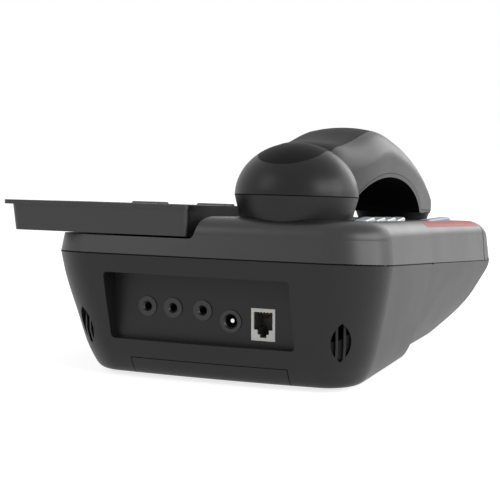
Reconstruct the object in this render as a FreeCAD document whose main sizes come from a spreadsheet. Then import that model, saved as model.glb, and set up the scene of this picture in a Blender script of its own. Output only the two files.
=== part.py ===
import FreeCAD, Part
import Sketcher
import math
import os

from FreeCAD import Placement, Rotation, Vector

# An amplified corded desk telephone: a base with a tilting display, its keys and jacks,
# and the handset that rests in the two wells of its deck.
# X runs across the phone, Y towards its rear wall and Z up from the table.
# The lower shell is modelled in that frame. The upper shell, the keys, the display and
# the handset are modelled in the deck frame, which starts at the parting line of the
# rear wall and leans with the deck, and each finished piece is then placed by it.

document = FreeCAD.newDocument("amplified_corded_phone")
sheet = document.addObject("Spreadsheet::Sheet", "sizes")


class Size:
    """A number that keeps the spreadsheet expression it came from."""

    def __init__(self, text, value):
        self.text = text
        self.value = float(value)

    def join(self, mark, other, value):
        return Size("(%s %s %s)" % (self.text, mark, other.text), value)

    def __add__(self, other):
        other = to_size(other)
        return self.join("+", other, self.value + other.value)

    def __sub__(self, other):
        other = to_size(other)
        return self.join("-", other, self.value - other.value)

    def __mul__(self, other):
        other = to_size(other)
        return self.join("*", other, self.value * other.value)

    def __truediv__(self, other):
        other = to_size(other)
        return self.join("/", other, self.value / other.value)

    def __radd__(self, other):
        return to_size(other) + self

    def __rsub__(self, other):
        return to_size(other) - self

    def __rmul__(self, other):
        return to_size(other) * self

    def __neg__(self):
        return Size("(-%s)" % self.text, -self.value)


def to_size(number):
    if isinstance(number, Size):
        return number
    return Size(repr(float(number)), number)


def root(size):
    return Size("sqrt(%s)" % size.text, math.sqrt(size.value))


def tangent(angle):
    return Size("tan(%s)" % angle.text, math.tan(math.radians(angle.value)))


def sine(angle):
    return Size("sin(%s)" % angle.text, math.sin(math.radians(angle.value)))


def cosine(angle):
    return Size("cos(%s)" % angle.text, math.cos(math.radians(angle.value)))


rows_used = []


def cell(name, value):
    """Write one named size into the sheet."""
    rows_used.append(name)
    row = len(rows_used)
    sheet.set("A%d" % row, name)
    sheet.set("B%d" % row, repr(float(value)))
    sheet.setAlias("B%d" % row, name)
    return Size("sizes." + name, value)


# Shells: outline, tilt and walls.
half_width = cell("half_width", 88.5)
shell_length = cell("shell_length", 262.0)
part_height = cell("part_height", 65.0)
part_tilt = cell("part_tilt", 5.5)
deck_tilt = cell("deck_tilt", 4.5)
deck_rise = cell("deck_rise", 20.0)
wall = cell("wall", 2.4)
rear_bow = cell("rear_bow", 900.0)
front_bow = cell("front_bow", 500.0)
rear_corner = cell("rear_corner", 28.0)
front_corner = cell("front_corner", 20.0)
foot_height = cell("foot_height", 2.0)
block_length = cell("block_length", 104.0)
nose_half = cell("nose_half", 90.0)
nose_flare = cell("nose_flare", 1.0)
nose_rear_inset = cell("nose_rear_inset", 1.5)
nose_start = cell("nose_start", 3.0)
side_draft = cell("side_draft", 1.5)
shoulder_start = cell("shoulder_start", 11.0)
shoulder_round = cell("shoulder_round", 9.0)
nose_fall = cell("nose_fall", 28.0)
trim_length = cell("trim_length", 35.0)
trim_gap = cell("trim_gap", 1.2)
notch_place = cell("notch_place", 8.0)
notch_width = cell("notch_width", 4.0)
notch_height = cell("notch_height", 1.4)
notch_depth = cell("notch_depth", 3.0)

# Clearances.
key_gap = cell("key_gap", 0.3)
slide_gap = cell("slide_gap", 0.4)
seat_gap = cell("seat_gap", 0.2)
pin_gap = cell("pin_gap", 0.05)
cavity_over = cell("cavity_over", 5.0)
fit_gap = cell("fit_gap", 0.1)

# Feet and screws.
foot_radius = cell("foot_radius", 6.5)
foot_draft = cell("foot_draft", 0.6)
foot_x = cell("foot_x", 51.0)
foot_rear = cell("foot_rear", 62.0)
foot_front = cell("foot_front", 170.0)
boss_x = cell("boss_x", 52.0)
boss_rear = cell("boss_rear", 42.0)
boss_front = cell("boss_front", 186.0)
boss_radius = cell("boss_radius", 4.5)
screw_radius = cell("screw_radius", 1.5)
screw_head_radius = cell("screw_head_radius", 3.0)
screw_head_height = cell("screw_head_height", 2.2)
screw_seat = cell("screw_seat", 12.0)
screw_bite = cell("screw_bite", 5.0)

# Jack recess in the rear wall.
recess_left = cell("recess_left", 46.0)
recess_right = cell("recess_right", 53.0)
recess_bottom = cell("recess_bottom", 21.0)
recess_top = cell("recess_top", 55.6)
panel_depth = cell("panel_depth", 15.5)
recess_corner = cell("recess_corner", 2.0)
jack_proud = cell("jack_proud", 0.6)
jack_chamfer = cell("jack_chamfer", 0.8)
pin_sunk = cell("pin_sunk", 2.0)
jack_ring = cell("jack_ring", 5.0)
jack_barrel = cell("jack_barrel", 4.4)
jack_length = cell("jack_length", 13.0)
jack_bore = cell("jack_bore", 1.8)
power_ring = cell("power_ring", 5.6)
power_bore = cell("power_bore", 3.0)
power_pin = cell("power_pin", 1.0)
line_width = cell("line_width", 12.4)
line_height = cell("line_height", 15.8)
line_depth = cell("line_depth", 14.0)
line_proud = cell("line_proud", 0.4)
line_floor = cell("line_floor", 2.0)
line_x = cell("line_x", -28.0)
line_z = cell("line_z", 32.1)
plug_width = cell("plug_width", 9.8)
plug_height = cell("plug_height", 7.4)
plug_way_more = cell("plug_way_more", 1.4)
plug_way_rise = cell("plug_way_rise", 1.8)
contact_pitch = cell("contact_pitch", 1.6)
contact_length = cell("contact_length", 8.0)
contact_sunk = cell("contact_sunk", 1.0)
contact_gauge = cell("contact_gauge", 0.5)
cord_jack_x = cell("cord_jack_x", -46.0)
cord_jack_z = cell("cord_jack_z", 27.0)
cord_jack_width = cell("cord_jack_width", 11.0)
cord_jack_height = cell("cord_jack_height", 11.0)
cord_jack_depth = cell("cord_jack_depth", 12.0)
cord_floor = cell("cord_floor", 1.5)
cord_panel_in = cell("cord_panel_in", 26.0)
cord_recess_margin = cell("cord_recess_margin", 2.5)
cord_plug_width = cell("cord_plug_width", 7.8)
cord_plug_height = cell("cord_plug_height", 6.8)

# Vents in the rear corners.
vent_width = cell("vent_width", 10.0)
vent_height = cell("vent_height", 19.5)
vent_z = cell("vent_z", 26.3)
vent_x = cell("vent_x", 68.5)
vent_y = cell("vent_y", -13.0)
vent_turn = cell("vent_turn", 29.0)
vent_depth = cell("vent_depth", 12.0)
vent_rib = cell("vent_rib", 1.2)
vent_rib_x = cell("vent_rib_x", 1.9)

# Battery compartment and its door.
door_x = cell("door_x", 1.0)
door_half = cell("door_half", 42.0)
door_length = cell("door_length", 80.0)
door_plate = cell("door_plate", 2.4)
door_lip_top = cell("door_lip_top", 11.2)
door_lip_depth = cell("door_lip_depth", 5.5)
cell_radius = cell("cell_radius", 7.1)
cell_length = cell("cell_length", 50.0)
cell_pitch = cell("cell_pitch", 16.0)
cell_rear = cell("cell_rear", 25.5)
cell_gap = cell("cell_gap", 0.4)
bay_half = cell("bay_half", 34.0)
tab_gauge = cell("tab_gauge", 0.6)

# Boards and the ringer.
board_gauge = cell("board_gauge", 1.6)
board_z = cell("board_z", 27.0)
board_half = cell("board_half", 47.0)
board_rear = cell("board_rear", 36.0)
board_front = cell("board_front", 190.0)
ringer_radius = cell("ringer_radius", 25.0)
ringer_height = cell("ringer_height", 9.0)
ringer_y = cell("ringer_y", -130.0)

# Keys.
key_travel = cell("key_travel", 1.6)
key_corner = cell("key_corner", 2.0)
key_edge = cell("key_edge", 0.6)
key_flange = cell("key_flange", 0.8)
flange_gauge = cell("flange_gauge", 1.2)
mat_gauge = cell("mat_gauge", 1.5)
number_width = cell("number_width", 19.0)
number_depth = cell("number_depth", 14.5)
number_x = cell("number_x", 22.0)
number_pitch_x = cell("number_pitch_x", 22.5)
number_y = cell("number_y", -109.0)
number_pitch_y = cell("number_pitch_y", 19.5)
number_rise = cell("number_rise", 1.6)
number_lean = cell("number_lean", -4.5)
function_y = cell("function_y", -93.5)
function_depth = cell("function_depth", 6.5)
function_rise = cell("function_rise", 1.2)
memory_width = cell("memory_width", 6.6)
memory_depth = cell("memory_depth", 16.0)
memory_x = cell("memory_x", -71.5)
memory_y = cell("memory_y", -36.2)
memory_pitch = cell("memory_pitch", 18.0)
memory_rise = cell("memory_rise", 1.2)
memory_lean = cell("memory_lean", -6.0)
boost_width = cell("boost_width", 7.0)
boost_depth = cell("boost_depth", 50.0)
boost_x = cell("boost_x", -72.4)
boost_y = cell("boost_y", -167.5)
boost_rise = cell("boost_rise", 1.2)
boost_lean = cell("boost_lean", -2.0)
hook_width = cell("hook_width", 9.6)
hook_depth = cell("hook_depth", 6.4)
hook_x = cell("hook_x", -52.0)
hook_y = cell("hook_y", -64.4)
hook_rise = cell("hook_rise", 1.6)
dial_radius = cell("dial_radius", 10.0)
dial_height = cell("dial_height", 3.6)
dial_x = cell("dial_x", 24.0)
dial_y = cell("dial_y", -203.0)
dial_notch = cell("dial_notch", 0.8)
stem_radius = cell("stem_radius", 3.0)
slider_x = cell("slider_x", 56.0)
slider_y = cell("slider_y", -203.0)
slider_half_travel = cell("slider_half_travel", 10.0)
slider_width = cell("slider_width", 7.0)
slider_depth = cell("slider_depth", 8.0)
slider_rise = cell("slider_rise", 3.2)
slider_corner = cell("slider_corner", 1.2)
slider_stem = cell("slider_stem", 3.0)

# Light bar on the left shoulder.
bar_rear = cell("bar_rear", 106.0)
bar_front = cell("bar_front", 222.0)
bar_depth = cell("bar_depth", 3.2)
bar_inner = cell("bar_inner", 80.0)

# Display and the pocket it lies in.
pocket_floor = cell("pocket_floor", 9.0)
pocket_length = cell("pocket_length", 78.0)
step_x = cell("step_x", -3.6)
step_angle = cell("step_angle", 72.0)
step_round = cell("step_round", 5.0)
step_fillet = cell("step_fillet", 3.0)
display_gap = cell("display_gap", 1.0)
display_left = cell("display_left", 6.8)
display_right = cell("display_right", 106.4)
display_rear = cell("display_rear", 1.0)
display_front = cell("display_front", 77.0)
display_draft = cell("display_draft", 1.6)
display_top = cell("display_top", 23.0)
display_corner = cell("display_corner", 4.0)
bezel_gauge = cell("bezel_gauge", 2.2)
lens_sunk = cell("lens_sunk", 0.3)
lens_corner = cell("lens_corner", 1.9)
bezel_over = cell("bezel_over", 4.8)
bezel_lip = cell("bezel_lip", 0.5)
window_left = cell("window_left", 20.0)
window_right = cell("window_right", 92.0)
window_rear = cell("window_rear", 14.0)
window_front = cell("window_front", 58.0)
lens_gauge = cell("lens_gauge", 1.4)
module_gauge = cell("module_gauge", 6.0)
module_margin = cell("module_margin", 4.0)
hinge_y = cell("hinge_y", -82.2)
hinge_rise = cell("hinge_rise", 3.2)
hinge_radius = cell("hinge_radius", 3.0)
hinge_pin = cell("hinge_pin", 1.5)
hinge_left = cell("hinge_left", 28.0)
hinge_right = cell("hinge_right", 68.0)
knuckle_half = cell("knuckle_half", 6.0)
ear_gauge = cell("ear_gauge", 4.0)

# Handset.
handset_x = cell("handset_x", -37.0)
ear_y = cell("ear_y", -34.0)
mouth_y = cell("mouth_y", -202.5)
ear_radius = cell("ear_radius", 30.4)
mouth_radius = cell("mouth_radius", 23.0)
ear_foot = cell("ear_foot", 27.0)
mouth_foot = cell("mouth_foot", 20.0)
well_gap = cell("well_gap", 1.0)
well_depth = cell("well_depth", 2.6)
ear_parting = cell("ear_parting", 11.0)
mouth_parting = cell("mouth_parting", 6.0)
dome_height = cell("dome_height", 26.3)
handle_crown = cell("handle_crown", 70.0)
arch_y = cell("arch_y", -110.9)
arch_half = cell("arch_half", 64.2)
arch_height = cell("arch_height", 23.1)
seam_y = cell("seam_y", -113.3)
seam_half = cell("seam_half", 66.9)
seam_height = cell("seam_height", 25.3)
inlay_half = cell("inlay_half", 16.0)
inlay_gauge = cell("inlay_gauge", 1.2)
inlay_rear = cell("inlay_rear", -25.0)
inlay_front = cell("inlay_front", -188.0)
face_gauge = cell("face_gauge", 2.6)
receiver_radius = cell("receiver_radius", 17.0)
receiver_height = cell("receiver_height", 7.0)
sound_hole = cell("sound_hole", 1.2)
sound_ring = cell("sound_ring", 7.0)
mic_radius = cell("mic_radius", 4.8)
mic_height = cell("mic_height", 3.0)
mic_y = cell("mic_y", -204.0)
weight_half = cell("weight_half", 9.0)
weight_length = cell("weight_length", 36.0)
weight_height = cell("weight_height", 8.0)
weight_rise = cell("weight_rise", 28.0)
socket_width = cell("socket_width", 9.4)
socket_height = cell("socket_height", 4.2)
socket_depth = cell("socket_depth", 11.0)
socket_sunk = cell("socket_sunk", 0.8)
socket_inset = cell("socket_inset", 0.3)
socket_floor = cell("socket_floor", 1.5)
socket_skin = cell("socket_skin", 0.6)
socket_rise = cell("socket_rise", 0.4)
tie_radius = cell("tie_radius", 1.3)
tie_head = cell("tie_head", 2.4)
tie_head_height = cell("tie_head_height", 1.8)
tie_ear_y = cell("tie_ear_y", -11.0)
tie_ear_rise = cell("tie_ear_rise", 4.0)
tie_mouth_y = cell("tie_mouth_y", -189.0)
tie_mouth_rise = cell("tie_mouth_rise", 4.0)
tie_length = cell("tie_length", 14.0)

rear_wall_foot = cell("rear_wall_foot", 13.7)

document.recompute()

# A length past every piece, for cutters that run out of the model.
FAR = 400.0

# Directions for pieces that don't stand upright.
ALONG_X = Rotation(Vector(0, 1, 0), 90)
TO_FRONT = Rotation(Vector(1, 0, 0), 90)
IN_SIDE_VIEW = Rotation(Vector(1, 1, 1), 120)

# The model's own origin is the middle of its box on the table, so each finished piece
# moves there from the rear wall's middle.
frame_x = (display_right + bezel_over - nose_half) / 2
frame_y = shell_length * cosine(part_tilt) / 2

nodes = []


def bind(thing, path, size):
    thing.setExpression(path, to_size(size).text)


def place(thing, x, y, z, turn=None):
    """Put a piece at a bound position, turned by a fixed rotation."""
    x = to_size(x)
    y = to_size(y)
    z = to_size(z)
    thing.Placement = Placement(Vector(x.value, y.value, z.value), turn or Rotation())
    bind(thing, "Placement.Base.x", x)
    bind(thing, "Placement.Base.y", y)
    bind(thing, "Placement.Base.z", z)
    return thing


def lean(thing, angle):
    """Turn a placed piece about the X direction by a bound angle."""
    angle = to_size(angle)
    thing.Placement.Rotation = Rotation(Vector(1, 0, 0), angle.value)
    bind(thing, "Placement.Rotation.Angle", angle)
    return thing


def place_from_deck(thing, x, y, rise):
    """Put a piece that is modelled at the table frame square to the deck."""
    y = to_size(y)
    rise = to_size(rise)
    up = y * sine(deck_tilt) + rise * cosine(deck_tilt)
    back = y * cosine(deck_tilt) - rise * sine(deck_tilt)
    place(thing, x, back, part_height + up)
    return lean(thing, deck_tilt)


def box(name, x, y, z):
    """A block from three pairs of limits."""
    thing = document.addObject("Part::Box", name)
    bind(thing, "Length", to_size(x[1]) - x[0])
    bind(thing, "Width", to_size(y[1]) - y[0])
    bind(thing, "Height", to_size(z[1]) - z[0])
    return place(thing, x[0], y[0], z[0])


def rod(name, radius, length, x=0, y=0, z=0, turn=None):
    thing = document.addObject("Part::Cylinder", name)
    bind(thing, "Radius", radius)
    bind(thing, "Height", length)
    return place(thing, x, y, z, turn)


def cone(name, foot, top, height, x, y, z):
    thing = document.addObject("Part::Cone", name)
    bind(thing, "Radius1", foot)
    bind(thing, "Radius2", top)
    bind(thing, "Height", height)
    return place(thing, x, y, z)


def fuse(name, pieces):
    thing = document.addObject("Part::MultiFuse", name)
    thing.Shapes = pieces
    return thing


def common(name, pieces):
    thing = document.addObject("Part::MultiCommon", name)
    thing.Shapes = pieces
    return thing


def cut(name, base, tools):
    thing = document.addObject("Part::Cut", name)
    thing.Base = base
    thing.Tool = tools[0] if len(tools) == 1 else fuse(name + "Tools", tools)
    return thing


def group(name, pieces):
    """Separate copies of one part, kept together."""
    thing = document.addObject("Part::Compound", name)
    thing.Links = pieces
    return thing


def copy(name, thing):
    """The same solid as an object of its own."""
    limit = box(name + "Limit", (-FAR, FAR), (-FAR, FAR), (-FAR, FAR))
    return common(name, [thing, limit])


def finish(label, thing, on_deck=False):
    """Name a finished piece and move it to the model's origin, from the deck if need be."""
    thing.Label = label
    place(thing, -frame_x, frame_y, part_height if on_deck else 0)
    if on_deck:
        lean(thing, deck_tilt)
    nodes.append(thing)
    return thing


def origin_plane(body, role):
    for plane in body.Origin.OriginFeatures:
        if plane.Role == role:
            return plane
    raise ValueError(role)


def new_body(name):
    return document.addObject("PartDesign::Body", name)


def new_sketch(body, name, lift, angle=0, role="XY_Plane"):
    """A sketch on one of the body's own planes, lifted and leaned by bound values."""
    sketch = body.newObject("Sketcher::SketchObject", name)
    sketch.AttachmentSupport = [(origin_plane(body, role), "")]
    sketch.MapMode = "FlatFace"
    lift = to_size(lift)
    angle = to_size(angle)
    turn = Rotation(Vector(1, 0, 0), angle.value)
    sketch.AttachmentOffset = Placement(Vector(0, 0, lift.value), turn)
    bind(sketch, "AttachmentOffset.Base.z", lift)
    if angle.value:
        bind(sketch, "AttachmentOffset.Rotation.Angle", angle)
    return sketch


def pin(sketch, kind, first, second, size):
    """Fix the signed distance from one point of a sketch to another."""
    size = to_size(size)
    if size.value < 0:
        first, second, size = second, first, -size
    rule = Sketcher.Constraint(kind, *first, *second, size.value)
    number = sketch.addConstraint(rule)
    sketch.setExpression("Constraints[%d]" % number, size.text)


def pin_radius(sketch, edge, size):
    number = sketch.addConstraint(Sketcher.Constraint("Radius", edge, size.value))
    sketch.setExpression("Constraints[%d]" % number, size.text)


def pin_angle(sketch, edge, size):
    """Fix the direction of a line, in degrees from the sketch's X axis."""
    rule = Sketcher.Constraint("Angle", edge, math.radians(size.value))
    number = sketch.addConstraint(rule)
    sketch.setExpression("Constraints[%d]" % number, size.text)


ORIGIN = (-1, 1)
UP = -2


def line(x1, y1, x2, y2):
    return Part.LineSegment(Vector(x1, y1, 0), Vector(x2, y2, 0))


def arc(x, y, radius, start, end):
    circle = Part.Circle(Vector(x, y, 0), Vector(0, 0, 1), radius)
    return Part.ArcOfCircle(circle, start, end)


def tile_sketch(sketch, x, y, width, depth, corner):
    """A rectangle with four equal corner arcs about a given centre."""
    x, y, width, depth, corner = [to_size(n) for n in (x, y, width, depth, corner)]
    half_x = width.value / 2
    half_y = depth.value / 2
    r = corner.value
    left, right = x.value - half_x, x.value + half_x
    low, high = y.value - half_y, y.value + half_y
    turn = math.pi / 2
    sketch.addGeometry([
        line(left + r, low, right - r, low),
        arc(right - r, low + r, r, -turn, 0),
        line(right, low + r, right, high - r),
        arc(right - r, high - r, r, 0, turn),
        line(right - r, high, left + r, high),
        arc(left + r, high - r, r, turn, 2 * turn),
        line(left, high - r, left, low + r),
        arc(left + r, low + r, r, 2 * turn, 3 * turn),
    ], False)
    for edge in range(8):
        sketch.addConstraint(Sketcher.Constraint("Tangent", edge, 2, (edge + 1) % 8, 1))
    for edge in (0, 4):
        sketch.addConstraint(Sketcher.Constraint("Horizontal", edge))
    for edge in (2, 6):
        sketch.addConstraint(Sketcher.Constraint("Vertical", edge))
    pin_radius(sketch, 1, corner)
    for edge in (3, 5):
        sketch.addConstraint(Sketcher.Constraint("Equal", 1, edge))
    pin(sketch, "DistanceX", ORIGIN, (2, 1), x + width / 2)
    pin(sketch, "DistanceX", (6, 1), (2, 1), width)
    pin(sketch, "DistanceY", ORIGIN, (4, 1), y + depth / 2)
    pin(sketch, "DistanceY", (0, 1), (4, 1), depth)


def pad(body, sketch, length, back=False):
    feature = body.newObject("PartDesign::Pad", sketch.Name + "Pad")
    feature.Profile = sketch
    bind(feature, "Length", length)
    feature.Reversed = back
    return feature


def loft(body, name, sections, ruled=False):
    feature = body.newObject("PartDesign::AdditiveLoft", name)
    feature.Profile = sections[0]
    feature.Sections = sections[1:]
    feature.Ruled = ruled
    return feature


def tile(name, x, y, width, depth, bottom, top, corner, role="XY_Plane"):
    """A block with four rounded upright corners."""
    body = new_body(name)
    sketch = new_sketch(body, name + "Plan", bottom, role=role)
    tile_sketch(sketch, x, y, width, depth, corner)
    pad(body, sketch, to_size(top) - bottom)
    return body


def outline(sketch, half, flare, rear, front, corner_rear, corner_front):
    """The plan of the shells: sides that may flare to the front, bowed ends, round corners."""
    side = half.value
    turn = math.radians(flare.value)
    out = Vector(math.cos(turn), math.sin(turn), 0)
    along = Vector(-math.sin(turn), math.cos(turn), 0)
    bow_rear = rear_bow.value
    bow_front = front_bow.value
    centre_rear = rear.value - bow_rear
    centre_front = front.value + bow_front
    r1 = corner_rear.value
    r2 = corner_front.value
    x2 = side - r2 * out.x
    y2 = centre_front - math.sqrt((bow_front - r2) ** 2 - x2 ** 2)
    a2 = math.atan2(y2 - centre_front, x2)
    start = Vector(side, y2 + r2 * out.y, 0)
    offset = start - out * r1 - Vector(0, centre_rear, 0)
    reach = offset.dot(along)
    run = math.sqrt(reach ** 2 - offset.dot(offset) + (bow_rear - r1) ** 2) - reach
    end = start + along * run
    x1 = end.x - r1 * out.x
    y1 = end.y - r1 * out.y
    a1 = math.atan2(y1 - centre_rear, x1)
    half_turn = math.pi
    sketch.addGeometry([
        line(start.x, start.y, end.x, end.y),
        arc(x1, y1, r1, turn, a1),
        arc(0, centre_rear, bow_rear, a1, half_turn - a1),
        arc(-x1, y1, r1, half_turn - a1, half_turn - turn),
        line(-end.x, end.y, -start.x, start.y),
        arc(-x2, y2, r2, half_turn - turn, half_turn - a2),
        arc(0, centre_front, bow_front, half_turn - a2, 2 * half_turn + a2),
        arc(x2, y2, r2, 2 * half_turn + a2, 2 * half_turn + turn),
    ], False)
    for edge in range(8):
        sketch.addConstraint(Sketcher.Constraint("Tangent", edge, 2, (edge + 1) % 8, 1))
    pin_angle(sketch, 0, 90 + flare)
    pin_angle(sketch, 4, -(90 + flare))
    pin(sketch, "DistanceX", ORIGIN, (0, 1), half)
    pin(sketch, "DistanceX", ORIGIN, (4, 2), -half)
    pin_radius(sketch, 1, corner_rear)
    pin_radius(sketch, 2, rear_bow)
    pin_radius(sketch, 5, corner_front)
    pin_radius(sketch, 6, front_bow)
    sketch.addConstraint(Sketcher.Constraint("Equal", 1, 3))
    sketch.addConstraint(Sketcher.Constraint("Equal", 5, 7))
    sketch.addConstraint(Sketcher.Constraint("PointOnObject", 2, 3, UP))
    sketch.addConstraint(Sketcher.Constraint("PointOnObject", 6, 3, UP))
    pin(sketch, "DistanceY", ORIGIN, (2, 3), rear - rear_bow)
    pin(sketch, "DistanceY", ORIGIN, (6, 3), front + front_bow)


# The lower shell narrows from the parting line to the foot. Each row gives the share of
# its height. For the rear block follow how far its sides and rear lie inside the parting
# outline and how much tighter its rear corners are. For the nose follow how far its sides
# and front lie inside and the radius of its front corners.
HULL_ROWS = (
    (1.0, 0.0, 0.0, 0.0, 0.0, 0.0, 20.0),
    (0.9, 0.9, 0.9, 0.3, 0.5, 1.2, 21.0),
    (0.733, 2.8, 2.8, 1.0, 3.3, 5.0, 23.0),
    (0.467, 6.7, 6.8, 2.0, 8.2, 13.0, 27.0),
    (0.233, 10.3, 10.5, 4.0, 14.8, 25.0, 33.0),
    (0.1, 13.4, 13.7, 6.0, 19.9, 36.0, 38.0),
    (0.033, 16.0, 16.3, 9.0, 22.9, 43.0, 42.0),
    (0.0, 21.8, 22.2, 14.0, 29.3, 50.0, 45.0),
)
hull_cells = []
for number, row in enumerate(HULL_ROWS):
    labels = ("share", "side_in", "rear_in", "rear_tight", "nose_in", "front_in", "front_corner")
    hull_cells.append([
        cell("hull_%s_%d" % (label, number), value) for label, value in zip(labels, row)
    ])
document.recompute()


def hull_form(name, nose, inset=0, above=0):
    """The lower shell's block or nose, or the nose inset by the wall as the cavity."""
    body = new_body(name)
    inset = to_size(inset)
    floor = foot_height + inset
    sections = []

    def section(label, level, angle, side, rear, front, rear_radius, front_radius):
        sketch = new_sketch(body, name + label, level, angle)
        outline(sketch,
                (nose_half if nose else half_width) - side - inset,
                nose_flare if nose else to_size(0),
                -(rear + inset + (nose_rear_inset if nose else 0)),
                front + inset - shell_length,
                rear_radius - inset,
                front_radius - inset)
        sections.append(sketch)

    none = to_size(0)
    if above:
        section("Above", part_height + above, part_tilt, none, none, none,
                rear_corner, hull_cells[0][6])
    for number, values in enumerate(hull_cells):
        share, side, rear, tight, nose_side, front, corner = values
        section(str(number), floor + (part_height - floor) * share, part_tilt * share,
                nose_side if nose else side, rear, front, rear_corner - tight, corner)
    loft(body, name + "Loft", sections)
    return body


# The upper shell: sides with a little draft, a round shoulder and a nose that falls as a
# quarter ellipse.
SHOULDER_STEPS = 6


def cover_form(name, nose, skin=0, below=0):
    """The upper shell's block or nose, or the nose inset by the wall as the cavity."""
    body = new_body(name)
    skin = to_size(skin)
    top = deck_rise - skin
    rounding = shoulder_round - skin
    fall = nose_fall - skin
    lean_over = part_tilt - deck_tilt
    half = nose_half if nose else half_width

    def section(label, level, angle, side_in, front_in, tight):
        sketch = new_sketch(body, name + label, level, angle)
        outline(sketch,
                half - skin - side_in,
                nose_flare if nose else to_size(0),
                -(skin + side_in + (nose_rear_inset if nose else 0)),
                skin + front_in - shell_length,
                rear_corner - skin - tight,
                front_corner - skin - tight)
        return sketch

    def shoulder(label, share):
        level = shoulder_start + (top - shoulder_start) * share
        ratio = (level - nose_start) / (top - nose_start)
        drop = to_size(1) if share == 1 else 1 - root(1 - ratio * ratio)
        bend = 1 - root(to_size(1 - share * share))
        return section(label, level, to_size(0), side_draft + rounding * bend, fall * drop,
                       rounding * bend)

    none = to_size(0)
    foot = section("Foot", -to_size(below), lean_over, none, none, none)
    loft(body, name + "Wall", [foot, shoulder("WallTop", 0.0)], True)
    steps = [math.sin(math.pi / 2 * step / SHOULDER_STEPS) for step in range(SHOULDER_STEPS)]
    rounds = [shoulder("Shoulder%d" % step, share) for step, share in enumerate(steps + [1.0])]
    loft(body, name + "Round", rounds)
    return body


# Lower shell: the rear block stands a little proud of the nose.
hull_block = common("HullBlock", [
    hull_form("HullWide", False),
    box("HullBlockLimit", (-FAR / 2, FAR / 2), (-block_length, FAR / 2), (0, FAR)),
])
hull_outer = fuse("HullOuter", [hull_block, hull_form("HullNose", True)])


def recess(name, grow):
    """The recess of the rear jacks, and the same with its walls."""
    grow = to_size(grow)
    body = new_body(name)
    sketch = new_sketch(body, name + "View", -FAR / 10, role="XZ_Plane")
    tile_sketch(sketch,
                (recess_right - recess_left) / 2,
                (recess_bottom + recess_top) / 2,
                recess_left + recess_right + 2 * grow,
                recess_top - recess_bottom + 2 * grow,
                recess_corner + grow)
    pad(body, sketch, panel_depth + grow + FAR / 10)
    return body


cord_panel = shell_length - cord_panel_in


def cord_recess(name, grow):
    """The recess of the handset cord's jack in the front bow, and its walls."""
    grow = to_size(grow)
    half_x = cord_jack_width / 2 + cord_recess_margin + grow
    half_z = cord_jack_height / 2 + cord_recess_margin + grow
    return box(name,
               (cord_jack_x - half_x, cord_jack_x + half_x),
               (-FAR, -(cord_panel - grow)),
               (cord_jack_z - half_z, cord_jack_z + half_z))


bay_front = cell_rear + cell_length + 2 * cell_gap + 2 * tab_gauge
bay_top = foot_height + door_plate + 2 * cell_radius + 2 * cell_gap + slide_gap
bay = (door_x - bay_half, door_x + bay_half)
battery_room = box("BatteryRoom", bay, (-bay_front, -cell_rear), (0, bay_top))
battery_walls = box("BatteryWalls",
                    (door_x - door_half - wall, door_x + door_half + wall),
                    (-(door_length + wall + slide_gap), 0),
                    (0, bay_top + wall))
hull_cavity = cut("HullCavity", hull_form("HullInside", True, wall, cavity_over),
                  [recess("RecessWalls", wall), battery_walls,
                   cord_recess("CordRecessWalls", wall)])

# Screw bosses stand square to the deck, so that they meet the posts of the upper shell.
BOSS_PLACES = [(side * boss_x, -along) for side in (-1, 1) for along in (boss_rear, boss_front)]
boss_rods = []
boss_holes = []
for number, (x, y) in enumerate(BOSS_PLACES):
    deep = part_height + 20
    rod_down = place_from_deck(rod("Boss%d" % number, boss_radius, deep + 10), x, y, -deep)
    boss_rods.append(rod_down)
    hole = rod("BossBore%d" % number, screw_radius + fit_gap, deep + 10)
    boss_holes.append(place_from_deck(hole, x, y, -deep))
    seat = rod("BossSeat%d" % number, screw_head_radius + slide_gap, deep - screw_seat)
    boss_holes.append(place_from_deck(seat, x, y, -deep))
bosses = common("HullBosses", [fuse("BossRods", boss_rods), hull_outer])


def vent(name, side):
    """A pointed oval opening across a rear corner, crossed by two upright ribs."""
    body = new_body(name)
    sketch = new_sketch(body, name + "View", 0, role="XZ_Plane")
    half_w = vent_width / 2
    half_h = vent_height / 2
    radius = (half_w * half_w + half_h * half_h) / (2 * half_w)
    spread = math.asin(half_h.value / radius.value)
    centre = radius.value - half_w.value
    sketch.addGeometry([
        arc(-centre, 0, radius.value, -spread, spread),
        arc(centre, 0, radius.value, math.pi - spread, math.pi + spread),
    ], False)
    sketch.addConstraint(Sketcher.Constraint("Coincident", 0, 2, 1, 1))
    sketch.addConstraint(Sketcher.Constraint("Coincident", 1, 2, 0, 1))
    sketch.addConstraint(Sketcher.Constraint("Equal", 0, 1))
    sketch.addConstraint(Sketcher.Constraint("PointOnObject", 0, 3, -1))
    pin_radius(sketch, 0, radius)
    pin(sketch, "DistanceY", ORIGIN, (0, 2), half_h)
    pin(sketch, "DistanceX", ORIGIN, (0, 2), 0)
    pad(body, sketch, vent_depth)
    out = vent_depth / 2
    ribs = []
    for rib_side in (-1, 1):
        middle = rib_side * vent_rib_x
        ribs.append(box("%sRib%d" % (name, rib_side + 1),
                        (middle - vent_rib / 2, middle + vent_rib / 2),
                        (-FAR / 4, -(out + 1)),
                        (-vent_height, vent_height)))
    opening = cut(name + "Opening", body, ribs)
    place(opening,
          side * (vent_x + out * sine(vent_turn)),
          vent_y + out * cosine(vent_turn),
          vent_z)
    angle = -side * vent_turn
    opening.Placement.Rotation = Rotation(Vector(0, 0, 1), angle.value)
    bind(opening, "Placement.Rotation.Angle", angle)
    return opening


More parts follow.
